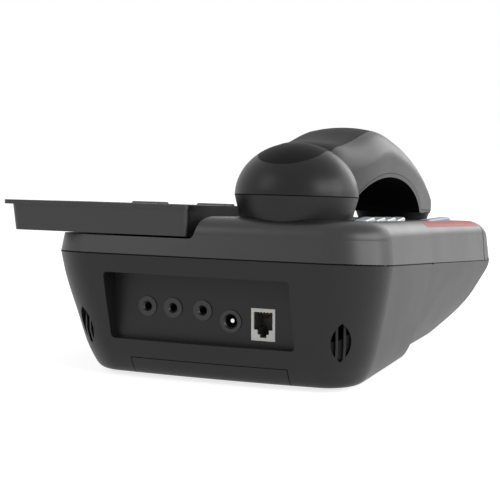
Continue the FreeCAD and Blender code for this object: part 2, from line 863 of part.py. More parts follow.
# Battery door: the plate under the cells with a lip that ends the rear wall's foot.
def door_space(name, gap):
    gap = to_size(gap)
    sides = (door_x - door_half - gap, door_x + door_half + gap)
    plate_top = foot_height + door_plate + gap
    plate = box(name + "Plate", sides, (-(door_length + gap), FAR / 8), (0, plate_top))
    lip = box(name + "Lip", sides,
              (-(rear_wall_foot + door_lip_depth + gap), FAR / 8), (0, door_lip_top + gap))
    return fuse(name, [plate, lip])


battery_door = common("BatteryDoor", [hull_outer, door_space("DoorForm", 0)])

# Round jacks in the rear panel: name, X, Z, ring radius, bore radius.
ROUND_JACKS = (
    ("bed_shaker_jack", cell("bed_shaker_x", 34.5), cell("bed_shaker_z", 37.6),
     jack_ring, jack_bore),
    ("headset_jack", cell("headset_x", 20.4), cell("headset_z", 37.5),
     jack_ring, jack_bore),
    ("neck_loop_jack", cell("neck_loop_x", 4.2), cell("neck_loop_z", 37.2),
     jack_ring, jack_bore),
    ("power_jack", cell("power_x", -10.9), cell("power_z", 32.7),
     power_ring, power_bore),
)
document.recompute()
panel_holes = []
jacks = []
for name, x, z, ring, bore in ROUND_JACKS:
    barrel = jack_barrel + ring - jack_ring
    panel_holes.append(rod(name + "_hole", barrel + fit_gap, 2 * jack_length,
                           x, -panel_depth + jack_length, z, TO_FRONT))
    flange = rod(name + "_flange", ring, jack_proud, x, jack_proud - panel_depth, z, TO_FRONT)
    body_rod = rod(name + "_barrel", barrel, jack_length, x, -panel_depth, z, TO_FRONT)
    hollow = rod(name + "_bore", bore, jack_length, x, jack_proud - panel_depth, z, TO_FRONT)
    mouth = cone(name + "_mouth", bore + jack_chamfer, bore, jack_chamfer, x,
                 jack_proud - panel_depth, z)
    mouth.Placement.Rotation = TO_FRONT
    jacks.append(cut(name, fuse(name + "_solid", [flange, body_rod]), [hollow, mouth]))

line_sides = (line_x - line_width / 2, line_x + line_width / 2)
line_levels = (line_z - line_height / 2, line_z + line_height / 2)
line_block = box("LineBlock", line_sides,
                 (-(panel_depth + line_depth), line_proud - panel_depth),
                 line_levels)
line_hole = box("LineHole",
                (line_sides[0] - fit_gap, line_sides[1] + fit_gap),
                (-(panel_depth + line_depth + 1), FAR / 8),
                (line_levels[0] - fit_gap, line_levels[1] + fit_gap))


def plug_way(name, x, z, width, height, near, far):
    """The way of a line plug: a wide part with two narrower steps for its latch."""
    steps = []
    for number, (share, drop) in enumerate(((1.0, 0.0), (0.62, 2.2), (0.36, 3.8))):
        half = width * share / 2
        steps.append(box("%s%d" % (name, number), (x - half, x + half), (-far, near),
                         (z - height / 2 - drop, z + height / 2)))
    return fuse(name, steps)


line_way = plug_way("LineWay", line_x, line_z + plug_way_rise, plug_width,
                    plug_height + plug_way_more, FAR / 8,
                    panel_depth + line_depth - line_floor)

cord_sides = (cord_jack_x - cord_jack_width / 2, cord_jack_x + cord_jack_width / 2)
cord_levels = (cord_jack_z - cord_jack_height / 2, cord_jack_z + cord_jack_height / 2)
cord_hole = box("CordHole",
                (cord_sides[0] - fit_gap, cord_sides[1] + fit_gap),
                (-(cord_panel + 1), -(cord_panel - cord_jack_depth - 1)),
                (cord_levels[0] - fit_gap, cord_levels[1] + fit_gap))

base_hull = cut("base_hull",
                fuse("HullShell", [cut("HullHollow", hull_outer, [hull_cavity]), bosses]),
                [recess("RecessSpace", 0), cord_recess("CordRecess", 0), battery_room,
                 door_space("DoorRoom", slide_gap), line_hole, cord_hole]
                + panel_holes + boss_holes
                + [vent("LeftVent", -1), vent("RightVent", 1)])
finish("base_hull", base_hull)
finish("battery_door", battery_door)
for (name, x, z, ring, bore), jack in zip(ROUND_JACKS, jacks):
    finish(name, jack)
power_x, power_z = ROUND_JACKS[3][1:3]
power_rod = rod("PowerRod", power_pin, jack_length - jack_proud - pin_sunk,
                power_x, -(panel_depth + pin_sunk), power_z, TO_FRONT)
finish("power_jack_pin", copy("PowerPin", power_rod))

finish("line_jack", cut("LineJack", line_block, [line_way]))


def contact_row(name, count, pitch, x, z, near, length):
    """Sprung contacts side by side under the roof of a line socket."""
    wires = []
    for number in range(count):
        middle = x + (number - (count - 1) / 2) * pitch
        wires.append(box("%s%d" % (name, number),
                         (middle - contact_gauge / 2, middle + contact_gauge / 2),
                         (-(near + length), -near), (z - contact_gauge, z)))
    return group(name, wires)


finish("line_jack_contacts",
       contact_row("LineContacts", 4, contact_pitch, line_x,
                   line_z + plug_way_rise + (plug_height + plug_way_more) / 2,
                   panel_depth + contact_sunk, contact_length))

cord_block = box("CordBlock", cord_sides, (-cord_panel, -(cord_panel - cord_jack_depth)),
                 cord_levels)
cord_way = plug_way("CordWay", cord_jack_x, cord_jack_z + 1, cord_plug_width,
                    cord_plug_height, -(cord_panel - cord_jack_depth + cord_floor), FAR)
finish("handset_cord_jack", cut("CordJack", cord_block, [cord_way]))

# Feet, boards, ringer and cells.
feet = []
for number, (x, y) in enumerate([(sx * foot_x, -fy) for sx in (-1, 1)
                                 for fy in (foot_rear, foot_front)]):
    feet.append(cone("Foot%d" % number, foot_radius - foot_draft, foot_radius, foot_height,
                     x, y, 0))
finish("rubber_feet", group("Feet", feet))

main_board = tile("main_board", 0, -(board_rear + board_front) / 2, board_half * 2,
                  board_front - board_rear, board_z, board_z + board_gauge, to_size(3))
finish("main_board", main_board)
ringer = fuse("Ringer", [
    cone("RingerBasket", ringer_radius, ringer_radius * 0.6, ringer_height,
         0, ringer_y, foot_height + wall),
    rod("RingerMagnet", ringer_radius * 0.45, ringer_height + 3,
        0, ringer_y, foot_height + wall),
])
finish("ringer_speaker", ringer)

cells = []
tabs = []
cell_level = foot_height + door_plate + slide_gap + cell_radius
for number in range(4):
    x = door_x + (number - 1.5) * cell_pitch
    rear_end = -(cell_rear + tab_gauge + cell_gap)
    cells.append(rod("Cell%d" % number, cell_radius, cell_length,
                     x, rear_end, cell_level, TO_FRONT))
    for place_name, y in (("Rear", -(cell_rear + tab_gauge)), ("Front", -bay_front)):
        tabs.append(box("Tab%s%d" % (place_name, number), (x - 4, x + 4),
                        (y, y + tab_gauge), (cell_level - 4, cell_level + 4)))
finish("battery_cells", group("Cells", cells))
finish("battery_contacts", group("BatteryTabs", tabs))

screws = []
for number, (x, y) in enumerate(BOSS_PLACES):
    head = rod("ScrewHead%d" % number, screw_head_radius, screw_head_height,
               x, y, -(screw_seat + screw_head_height))
    shank = rod("ScrewShank%d" % number, screw_radius, screw_seat + screw_bite,
                x, y, -screw_seat)
    screws.append(fuse("Screw%d" % number, [head, shank]))
finish("housing_screws", group("HousingScrews", screws), True)

# Upper shell.
cover_block = common("CoverBlock", [
    cover_form("CoverWide", False),
    box("CoverBlockLimit", (-FAR / 2, FAR / 2), (-block_length, FAR / 2), (-FAR / 4, FAR)),
])
cover_nose = cover_form("CoverNose", True)
cover_outer = fuse("CoverOuter", [cover_block, cover_nose])


def pocket(name, grow):
    """The display's pocket: a flat floor that meets the deck in an S-shaped step."""
    grow = to_size(grow)
    body = new_body(name)
    sketch = new_sketch(body, name + "View", -FAR / 10, role="XZ_Plane")
    low = pocket_floor - grow
    high = deck_rise - grow
    r_top = step_round - grow
    r_low = step_fillet + grow
    angle = math.radians(step_angle.value)
    x0 = step_x.value
    x1 = x0 + r_top.value * math.sin(angle)
    z1 = high.value - r_top.value * (1 - math.cos(angle))
    z2 = low.value + r_low.value * (1 - math.cos(angle))
    x2 = x1 + (z1 - z2) / math.tan(angle)
    x3 = x2 + r_low.value * math.sin(angle)
    far = FAR / 2
    turn = math.pi / 2
    sketch.addGeometry([
        line(far, low.value, x3, low.value),
        arc(x3, low.value + r_low.value, r_low.value, 3 * turn - angle, 3 * turn),
        line(x2, z2, x1, z1),
        arc(x0, high.value - r_top.value, r_top.value, turn - angle, turn),
        line(x0, high.value, x0, far),
        line(x0, far, far, far),
        line(far, far, far, low.value),
    ], False)
    sketch.addConstraint(Sketcher.Constraint("Tangent", 0, 2, 1, 2))
    sketch.addConstraint(Sketcher.Constraint("Tangent", 1, 1, 2, 1))
    sketch.addConstraint(Sketcher.Constraint("Tangent", 2, 2, 3, 1))
    sketch.addConstraint(Sketcher.Constraint("Coincident", 3, 2, 4, 1))
    sketch.addConstraint(Sketcher.Constraint("Coincident", 4, 2, 5, 1))
    sketch.addConstraint(Sketcher.Constraint("Coincident", 5, 2, 6, 1))
    sketch.addConstraint(Sketcher.Constraint("Coincident", 6, 2, 0, 1))
    for edge in (0, 5):
        sketch.addConstraint(Sketcher.Constraint("Horizontal", edge))
    for edge in (4, 6):
        sketch.addConstraint(Sketcher.Constraint("Vertical", edge))
    sketch.addConstraint(Sketcher.Constraint("Vertical", 3, 3, 3, 2))
    pin_radius(sketch, 1, r_low)
    pin_radius(sketch, 3, r_top)
    pin(sketch, "DistanceX", ORIGIN, (4, 1), step_x)
    pin(sketch, "DistanceY", ORIGIN, (4, 1), high)
    pin(sketch, "DistanceY", ORIGIN, (0, 1), low)
    pin(sketch, "DistanceX", ORIGIN, (6, 1), far)
    pin(sketch, "DistanceY", ORIGIN, (5, 1), far)
    pin_angle(sketch, 2, 180 - step_angle)
    pad(body, sketch, pocket_length + grow + FAR / 10)
    return body


def well(name, y, foot, grow):
    """The round well of one of the handset's cups, and the same with its walls."""
    grow = to_size(grow)
    return rod(name, foot + well_gap + grow, FAR / 10, handset_x, y,
               deck_rise - well_depth - grow)


trim_y = trim_length - shell_length
inside = cover_form("CoverInside", True, wall, cavity_over)
cover_cavity = cut("CoverCavity", inside, [
    pocket("PocketWalls", wall),
    well("EarWellWalls", ear_y, ear_foot, wall),
    well("MouthWellWalls", mouth_y, mouth_foot, wall),
    box("NoseWall", (-FAR / 2, FAR / 2), (-FAR, trim_y + trim_gap + wall), (-FAR / 4, FAR)),
])
post_rods = []
post_holes = []
for number, (x, y) in enumerate(BOSS_PLACES):
    post_rods.append(rod("Post%d" % number, boss_radius, FAR / 4, x, y, -FAR / 8))
    post_holes.append(rod("PostHole%d" % number, screw_radius + pin_gap, FAR / 8 + screw_bite,
                          x, y, -FAR / 8))
posts = common("CoverPosts", [fuse("PostRods", post_rods), cover_outer])

# Hinge ears for the display stand on the deck beside its pocket.
ears = []
for side, middle in (("Left", hinge_left), ("Right", hinge_right)):
    for number, way in enumerate((-1, 1)):
        near = middle + way * (knuckle_half + slide_gap)
        start = near if way > 0 else near - ear_gauge
        ears.append(rod("%sEar%d" % (side, number), hinge_radius, ear_gauge,
                        start, hinge_y, deck_rise + hinge_rise, ALONG_X))
        ears.append(box("%sEarFoot%d" % (side, number), (start, start + ear_gauge),
                        (hinge_y - hinge_radius, hinge_y + hinge_radius),
                        (deck_rise - wall / 2, deck_rise + hinge_rise)))
pins = []
for side, middle in (("Left", hinge_left), ("Right", hinge_right)):
    reach = knuckle_half + slide_gap + ear_gauge
    pins.append(rod(side + "HingePin", hinge_pin, 2 * reach, middle - reach, hinge_y,
                    deck_rise + hinge_rise, ALONG_X))

# Keys: name, X, Y, width, depth, rise over the deck, lean of the top.
KEYS = []
names = ["number_key_%s" % mark for mark in ("1", "2", "3", "4", "5", "6", "7", "8", "9",
                                             "star", "0", "hash")]
for number, name in enumerate(names):
    KEYS.append((name, number_x + (number % 3) * number_pitch_x,
                 number_y - (number // 3) * number_pitch_y,
                 number_width, number_depth, number_rise, number_lean))
for number, name in enumerate(("redial_key", "flash_key", "hold_key")):
    KEYS.append((name, number_x + number * number_pitch_x, function_y,
                 number_width, function_depth, function_rise, to_size(0)))
for number in range(4):
    KEYS.append(("memory_key_%d" % (number + 1), memory_x,
                 memory_y - number * memory_pitch,
                 memory_width, memory_depth, memory_rise, memory_lean))
KEYS.append(("boost_key", boost_x, boost_y, boost_width, boost_depth, boost_rise, boost_lean))

flange_top = deck_rise - wall - seat_gap
flange_low = flange_top - flange_gauge
mat_top = flange_low - key_travel - seat_gap
board_top = mat_top - mat_gauge


def key(name, x, y, width, depth, rise, angle):
    """A key cap with a leaning top, eased edges and a flange that keeps it in."""
    body = new_body(name)
    low = new_sketch(body, name + "Low", flange_low)
    tile_sketch(low, x, y, width, depth, key_corner)
    sections = [low]
    for step, ease in (("Shoulder", key_edge), ("Top", to_size(0))):
        level = deck_rise + rise - ease - y * tangent(angle)
        sketch = new_sketch(body, name + step, level, angle)
        inset = key_edge - ease
        tile_sketch(sketch, x, y / cosine(angle), width - 2 * inset,
                    depth / cosine(angle) - 2 * inset, key_corner - inset)
        sections.append(sketch)
    loft(body, name + "Cap", sections, True)
    flange = new_sketch(body, name + "Rim", flange_low)
    tile_sketch(flange, x, y, width + 2 * key_flange, depth + 2 * key_flange, key_corner)
    pad(body, flange, flange_gauge)
    return body


key_openings = []
for name, x, y, width, depth, rise, angle in KEYS:
    key_openings.append(tile(name + "_opening", x, y, width + 2 * key_gap,
                             depth + 2 * key_gap, deck_rise - 2 * wall, deck_rise + wall,
                             key_corner + key_gap))
hook_opening = tile("hook_opening", hook_x, hook_y, hook_width + 2 * key_gap,
                    hook_depth + 2 * key_gap, deck_rise - 2 * wall, deck_rise + wall,
                    to_size(1) + key_gap)
dial_opening = rod("DialOpening", stem_radius + key_gap, 4 * wall, dial_x, dial_y,
                   deck_rise - 2 * wall)
slider_opening = tile("SliderOpening", slider_x, slider_y,
                      2 * slider_half_travel + slider_stem + 2 * slide_gap,
                      slider_stem + 2 * slide_gap, deck_rise - 2 * wall, deck_rise + wall,
                      slider_corner)
bar_room = box("BarRoom", (-FAR / 2, -bar_inner), (-bar_front, -bar_rear),
               (deck_rise - bar_depth, FAR / 4))
trim_room = box("TrimRoom", (-FAR / 2, FAR / 2), (-FAR, trim_y + trim_gap),
                (-FAR / 4, FAR))
trim_limit = box("TrimLimit", (-FAR / 2, FAR / 2), (-FAR, trim_y), (-FAR / 4, FAR))
trim_cavity = common("TrimCavity", [
    inside,
    box("TrimCavityLimit", (-FAR / 2, FAR / 2), (-FAR, trim_y - wall), (-FAR / 4, FAR)),
])
notch_x = -(nose_half - notch_depth)
trim_notch = box("TrimNotch", (-FAR / 2, notch_x),
                 (trim_y - notch_place - notch_width, trim_y - notch_place),
                 (-FAR / 4, (trim_y - notch_place) * tangent(part_tilt - deck_tilt)
                  + notch_height))
hook_room = tile("HookRoom", hook_x, hook_y, hook_width + 2 * key_flange + 2 * key_gap,
                 hook_depth + 2 * key_flange + 2 * key_gap, deck_rise - 3 * wall,
                 deck_rise - wall, to_size(1) + key_gap)

top_cover = cut("TopCover",
                fuse("CoverSolid", [cut("CoverHollow", cover_outer, [cover_cavity]), posts]
                     + ears),
                [pocket("PocketRoom", 0), well("EarWell", ear_y, ear_foot, 0),
                 well("MouthWell", mouth_y, mouth_foot, 0), hook_opening, dial_opening,
                 slider_opening, bar_room, trim_room, hook_room]
                + key_openings + post_holes + pins)
finish("top_cover", top_cover, True)
trim_solid = common("TrimSolid", [cover_nose, trim_limit])
finish("front_trim", cut("FrontTrim", trim_solid, [trim_cavity, trim_notch]), True)
finish("light_bar", common("LightBar", [cover_outer, bar_room]), True)
for entry in KEYS:
    finish(entry[0], key(*entry), True)

# The board and the mat under the keys: one field for the number keys, a strip under the
# left column and a tongue that carries the dial and the slider between the posts.
field_rear = hinge_y - hinge_radius - 1
field_front = -(boss_front - boss_radius - 1)
field_right = number_x + 2 * number_pitch_x + number_width / 2 + 1
strip_left = memory_x - memory_width / 2
tongue_left = dial_x - dial_radius - 1
tongue_right = slider_x + slider_half_travel + slider_width / 2
tongue_front = dial_y - dial_radius


def key_layer(name, bottom, top):
    levels = (bottom, top)
    return fuse(name, [
        box(name + "Field", (strip_left, field_right), (field_front, field_rear), levels),
        box(name + "Strip", (strip_left, memory_x + memory_width / 2 + 1),
            (boost_y - boost_depth / 2, memory_y + memory_depth / 2), levels),
        box(name + "Neck", (tongue_left, boss_x - boss_radius - 1),
            (tongue_front, field_front + 1), levels),
        box(name + "Tongue", (tongue_left, tongue_right),
            (tongue_front, -(boss_front + boss_radius + 1)), levels),
    ])


finish("key_mat", key_layer("KeyMat", board_top, mat_top), True)
finish("key_board", key_layer("KeyBoard", board_top - board_gauge, board_top), True)

hook_cap = tile("HookCap", hook_x, hook_y, hook_width, hook_depth, flange_low,
                deck_rise + hook_rise, to_size(1))
hook_rim = tile("HookRim", hook_x, hook_y, hook_width + 2 * key_flange,
                hook_depth + key_flange, flange_low, flange_top, to_size(1))
finish("hook_plunger", fuse("HookPlunger", [hook_cap, hook_rim]), True)

dial_disc = rod("DialDisc", dial_radius, dial_height, dial_x, dial_y, deck_rise + seat_gap)
dial_stem = rod("DialStem", stem_radius, deck_rise + seat_gap - mat_top - seat_gap,
                dial_x, dial_y, mat_top + seat_gap)
notches = []
for number in range(16):
    angle = 2 * math.pi * number / 16
    notches.append(rod("DialNotch%d" % number, dial_notch, dial_height + 1,
                       dial_x + dial_radius * math.cos(angle),
                       dial_y + dial_radius * math.sin(angle), deck_rise))
finish("volume_dial", cut("VolumeDial", fuse("DialSolid", [dial_disc, dial_stem]), notches),
       True)

slider_cap = tile("SliderCap", slider_x, slider_y, slider_width, slider_depth,
                  deck_rise + seat_gap, deck_rise + slider_rise, slider_corner)
slider_pin = box("SliderPin", (slider_x - slider_stem / 2, slider_x + slider_stem / 2),
                 (slider_y - slider_stem / 2, slider_y + slider_stem / 2),
                 (mat_top + seat_gap, deck_rise + 1))
finish("tone_slider", fuse("ToneSlider", [slider_cap, slider_pin]), True)

# Display: a drafted housing under a thin bezel that overhangs it at the right end.
display_width = display_right - display_left
display_depth = display_front - display_rear
display_x = (display_left + display_right) / 2
display_y = -(display_rear + display_front) / 2
housing_low = pocket_floor + display_gap
housing = new_body("DisplayTray")
tray_low = new_sketch(housing, "TrayLow", housing_low)
tile_sketch(tray_low, display_x - display_draft / 2, display_y, display_width - display_draft,
            display_depth - display_draft, display_corner)
tray_top = new_sketch(housing, "TrayTop", display_top)
tile_sketch(tray_top, display_x, display_y, display_width, display_depth, display_corner)
loft(housing, "TrayLoft", [tray_low, tray_top], True)
module_x = (window_left - module_margin, window_right + module_margin)
module_y = (-(window_front + module_margin), -(window_rear - module_margin))
module_low = display_top - module_gauge
module_room = box("ModuleRoom",
                  (module_x[0] - fit_gap, module_x[1] + fit_gap),
                  (module_y[0] - fit_gap, module_y[1] + fit_gap),
                  (module_low, display_top + 1))
knuckles = []
knuckle_bores = []
for side, middle in (("Left", hinge_left), ("Right", hinge_right)):
    knuckles.append(rod(side + "Knuckle", hinge_radius, 2 * knuckle_half,
                        middle - knuckle_half, hinge_y, deck_rise + hinge_rise, ALONG_X))
    knuckles.append(box(side + "KnuckleArm",
                        (middle - knuckle_half, middle + knuckle_half),
                        (hinge_y, -(display_front - 3)),
                        (deck_rise + slide_gap, display_top)))
    knuckle_bores.append(rod(side + "KnuckleBore", hinge_pin + pin_gap,
                             2 * knuckle_half + 2, middle - knuckle_half - 1, hinge_y,
                             deck_rise + hinge_rise, ALONG_X))
finish("display_housing",
       cut("DisplayHousing", fuse("HousingSolid", [housing] + knuckles),
           [module_room] + knuckle_bores), True)
bezel_left = display_left - bezel_lip
bezel_right = display_right + bezel_over
bezel = tile("BezelPlate", (bezel_left + bezel_right) / 2, display_y, bezel_right - bezel_left,
             display_depth + 2 * bezel_lip, display_top, display_top + bezel_gauge,
             display_corner)
window = tile("BezelWindow", (window_left + window_right) / 2,
              -(window_rear + window_front) / 2, window_right - window_left,
              window_front - window_rear, display_top - 1, display_top + bezel_gauge + 1,
              to_size(2))
finish("display_bezel", cut("DisplayBezel", bezel, [window]), True)
finish("display_module", copy("DisplayModule", box("ModuleBlock", module_x, module_y,
                                                   (module_low, display_top))), True)
lens_top = display_top + bezel_gauge - lens_sunk
finish("display_lens",
       tile("DisplayLens", (window_left + window_right) / 2,
            -(window_rear + window_front) / 2,
            window_right - window_left - 2 * fit_gap,
            window_front - window_rear - 2 * fit_gap, lens_top - lens_gauge, lens_top,
            lens_corner), True)
finish("display_hinge_pins", group("HingePins", pins), True)

# Handset. Rows of the handle: distance towards the front, half width, underside,
# ridge, corner radius. Heights are over the deck.
HANDLE_ROWS = (
    (12.0, 15.0, 11.0, 26.3, 9.0),
    (34.0, 20.5, 11.0, 35.6, 13.0),
    (54.0, 24.2, 11.0, 39.6, 14.0),
    (74.0, 26.0, 11.0, 43.4, 14.0),
    (104.0, 26.2, 11.0, 49.2, 14.0),
    (124.0, 26.0, 11.0, 47.4, 14.0),
    (146.0, 25.6, 9.0, 43.7, 14.0),
    (168.0, 25.0, 5.0, 37.9, 13.0),
    (190.0, 24.4, 4.6, 29.0, 11.0),
    (210.0, 24.0, 4.6, 14.6, 6.0),
    (227.0, 24.0, 4.6, 5.4, 0.7),
)
handle_cells = []
for number, row in enumerate(HANDLE_ROWS):
    labels = ("along", "half", "under", "ridge", "corner")
    handle_cells.append([
        cell("handle_%s_%d" % (label, number), value) for label, value in zip(labels, row)
    ])
document.recompute()


def handle_section(sketch, half, under, ridge, corner):
    """A D-shaped section: flat below, upright sides and a crowned top."""
    low = deck_rise + under
    crown = handle_crown.value
    centre = deck_rise.value + ridge.value - crown
    side = half.value
    r = corner.value
    x = side - r
    z = centre + math.sqrt((crown - r) ** 2 - x * x)
    angle = math.atan2(z - centre, x)
    sketch.addGeometry([
        line(-side, low.value, side, low.value),
        line(side, low.value, side, z),
        arc(x, z, r, 0, angle),
        arc(0, centre, crown, angle, math.pi - angle),
        arc(-x, z, r, math.pi - angle, math.pi),
        line(-side, z, -side, low.value),
    ], False)
    for edge in range(1, 5):
        sketch.addConstraint(Sketcher.Constraint("Tangent", edge, 2, edge + 1, 1))
    sketch.addConstraint(Sketcher.Constraint("Coincident", 5, 2, 0, 1))
    sketch.addConstraint(Sketcher.Constraint("Coincident", 0, 2, 1, 1))
    sketch.addConstraint(Sketcher.Constraint("Horizontal", 0))
    sketch.addConstraint(Sketcher.Constraint("Vertical", 1))
    sketch.addConstraint(Sketcher.Constraint("Vertical", 5))
    sketch.addConstraint(Sketcher.Constraint("PointOnObject", 3, 3, UP))
    sketch.addConstraint(Sketcher.Constraint("Equal", 2, 4))
    pin_radius(sketch, 2, corner)
    pin_radius(sketch, 3, handle_crown)
    pin(sketch, "DistanceX", ORIGIN, (1, 1), half)
    pin(sketch, "DistanceX", ORIGIN, (5, 1), -half)
    pin(sketch, "DistanceY", ORIGIN, (0, 1), low)
    pin(sketch, "DistanceY", ORIGIN, (3, 3), deck_rise + ridge - handle_crown)


handle = new_body("HandleForm")
sections = []
for number, (along, half, under, ridge, corner) in enumerate(handle_cells):
    sketch = new_sketch(handle, "Handle%d" % number, along, role="XZ_Plane")
    handle_section(sketch, half, under, ridge, corner)
    sections.append(sketch)
loft(handle, "HandleLoft", sections)
place(handle, handset_x, 0, 0)


def ellipse_prism(name, y, half, height):
    """A level elliptic bar across the handset, used for the arch and for the seam."""
    ellipse = document.addObject("Part::Ellipse", name + "Edge")
    bind(ellipse, "MajorRadius", half)
    bind(ellipse, "MinorRadius", height)
    place(ellipse, handset_x - FAR / 8, y, deck_rise, IN_SIDE_VIEW)
    prism = document.addObject("Part::Extrusion", name)
    prism.Base = ellipse
    prism.DirMode = "Custom"
    prism.Dir = Vector(1, 0, 0)
    prism.LengthFwd = FAR / 4
    prism.Solid = True
    return prism


handle_end = fuse("HandleEnd", [
    box("HandleEndRear", (handset_x - 60, handset_x + 60), (mouth_y, 20), (0, FAR)),
    rod("HandleEndFront", mouth_radius, FAR, handset_x, mouth_y, 0),
])
handle_trimmed = common("HandleTrimmed", [handle, handle_end])
handle_arched = cut("HandleArched", handle_trimmed,
                    [ellipse_prism("Arch", arch_y, arch_half, arch_height)])
dome = document.addObject("Part::Ellipsoid", "EarDome")
bind(dome, "Radius1", dome_height)
bind(dome, "Radius2", ear_radius)
bind(dome, "Radius3", ear_radius)
dome.Angle1 = 0
dome.Angle2 = 90
place(dome, handset_x, ear_y, deck_rise + ear_parting)
seat_level = deck_rise - well_depth + seat_gap
ear_cup = cone("EarCup", ear_foot, ear_radius, ear_parting + well_depth - seat_gap,
               handset_x, ear_y, seat_level)
mouth_cup = cone("MouthCup", mouth_foot, mouth_radius,
                 mouth_parting + well_depth - seat_gap, handset_x, mouth_y, seat_level)
handset_form = fuse("HandsetForm", [handle_arched, dome, ear_cup, mouth_cup])
face_region = fuse("FaceRegion", [
    ellipse_prism("Seam", seam_y, seam_half, seam_height),
    box("EarFace", (handset_x - 60, handset_x + 60), (ear_y - ear_radius - 4, 20),
        (0, deck_rise + ear_parting)),
    box("MouthFace", (handset_x - 60, handset_x + 60), (-FAR, mouth_y + mouth_radius + 2),
        (0, deck_rise + mouth_parting)),
])
inlay_form = fuse("InlayForm", [
    box("InlayStrip", (handset_x - inlay_half, handset_x + inlay_half),
        (inlay_front, inlay_rear), (deck_rise + ear_parting, FAR)),
    rod("InlayRear", inlay_half, FAR, handset_x, inlay_rear, deck_rise + ear_parting),
    rod("InlayFront", inlay_half, FAR, handset_x, inlay_front, deck_rise + ear_parting),
])
lowered = place(copy("LoweredForm", handset_form), 0, 0, -inlay_gauge)
inlay_sheet = cut("InlaySheet", common("InlayBlock", [handset_form, inlay_form]),
                  [lowered, face_region])
inlay = common("Inlay", [inlay_sheet, box("InlayAbove", (-FAR, FAR), (-FAR, FAR),
                                          (deck_rise + ear_parting + 2, FAR))])
finish("handset_inlay", copy("InlayPiece", inlay), True)

receiver_level = seat_level + face_gauge
receiver_room = rod("ReceiverRoom", receiver_radius + fit_gap, receiver_height,
                    handset_x, ear_y, receiver_level)
mic_level = seat_level + face_gauge
mic_room = rod("MicRoom", mic_radius + fit_gap, mic_height, handset_x, mic_y, mic_level)
sound_holes = []
for number in range(7):
    angle = 2 * math.pi * number / 6
    reach = sound_ring if number < 6 else to_size(0)
    sound_holes.append(rod("SoundHole%d" % number, sound_hole, 2 * face_gauge,
                           handset_x + reach * math.cos(angle),
                           ear_y + reach * math.sin(angle), seat_level - face_gauge / 2))
sound_holes.append(rod("MicHole", sound_hole, 2 * face_gauge, handset_x, mic_y,
                       seat_level - face_gauge / 2))
weight_x = (handset_x - weight_half, handset_x + weight_half)
weight_y = (arch_y, arch_y + weight_length)
weight_z = (deck_rise + weight_rise, deck_rise + weight_rise + weight_height)
weight = box("Weight", weight_x, weight_y, weight_z)
socket_x = (handset_x - socket_width / 2, handset_x + socket_width / 2)
socket_level = deck_rise + socket_rise
socket_front = mouth_y - mouth_radius + socket_sunk
socket = box("SocketBlock", socket_x, (socket_front, socket_front + socket_depth),
             (socket_level, socket_level + socket_height))
socket_way = box("SocketWay",
                 (handset_x - cord_plug_width / 2 + socket_inset,
                  handset_x + cord_plug_width / 2 - socket_inset),
                 (-FAR, socket_front + socket_depth - socket_floor),
                 (socket_level + socket_skin, socket_level + socket_height - socket_skin))
socket_room = box("SocketRoom", socket_x, (-FAR, socket_front + socket_depth),
                  (socket_level, socket_level + socket_height))
ties = []
tie_rooms = []
for name, y, rise in (("EarTie", tie_ear_y, tie_ear_rise),
                      ("MouthTie", tie_mouth_y, tie_mouth_rise)):
    level = seat_level + rise
    head = rod(name + "Head", tie_head, tie_head_height, handset_x, y, level)
    shank = rod(name + "Shank", tie_radius, tie_length, handset_x, y, level + tie_head_height)
    ties.append(fuse(name, [head, shank]))
    tie_rooms.append(rod(name + "Way", tie_head + fit_gap, rise + tie_head_height + 1,
                         handset_x, y, seat_level - 1))
    tie_rooms.append(rod(name + "Bore", tie_radius, tie_length, handset_x, y,
                         level + tie_head_height))
face = common("FaceForm", [handset_form, face_region])
back = cut("BackForm", handset_form, [face_region, inlay])
finish("handset_face",
       cut("HandsetFace", face, [receiver_room, mic_room, socket_room] + sound_holes
           + tie_rooms), True)
finish("handset_back", cut("HandsetBack", back, [weight] + tie_rooms), True)
finish("receiver_speaker", fuse("Receiver", [
    rod("ReceiverCase", receiver_radius, receiver_height - 2, handset_x, ear_y,
        receiver_level),
    rod("ReceiverMagnet", receiver_radius * 0.6, receiver_height - 0.5, handset_x, ear_y,
        receiver_level),
]), True)
finish("microphone", fuse("Mic", [
    rod("MicCase", mic_radius, mic_height - 0.6, handset_x, mic_y, mic_level),
    rod("MicPins", mic_radius * 0.4, mic_height - 0.2, handset_x, mic_y, mic_level),
]), True)
finish("handset_weight", copy("HandsetWeight", weight), True)
finish("handset_cord_socket", cut("CordSocket", socket, [socket_way]), True)
finish("handset_screws", group("HandsetScrews", ties), True)

document.recompute()
for thing in document.Objects:
    if "Invalid" in thing.State or "Error" in thing.State:
        raise RuntimeError("%s did not build: %s" % (thing.Name, thing.State))
for thing in nodes:
    shape = thing.Shape
    if shape.isNull() or not shape.isValid() or not shape.Solids:
        raise RuntimeError("%s has no valid solid" % thing.Label)
os.makedirs("parts", exist_ok=True)
for thing in nodes:
    thing.Shape.exportStep("parts/%s.step" % thing.Label)
    print("%-22s %d solids %10.1f mm3" % (thing.Label, len(thing.Shape.Solids),
                                          thing.Shape.Volume))
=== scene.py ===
import math

import bmesh
import bpy
from mathutils import Matrix, Vector
from mathutils.bvhtree import BVHTree


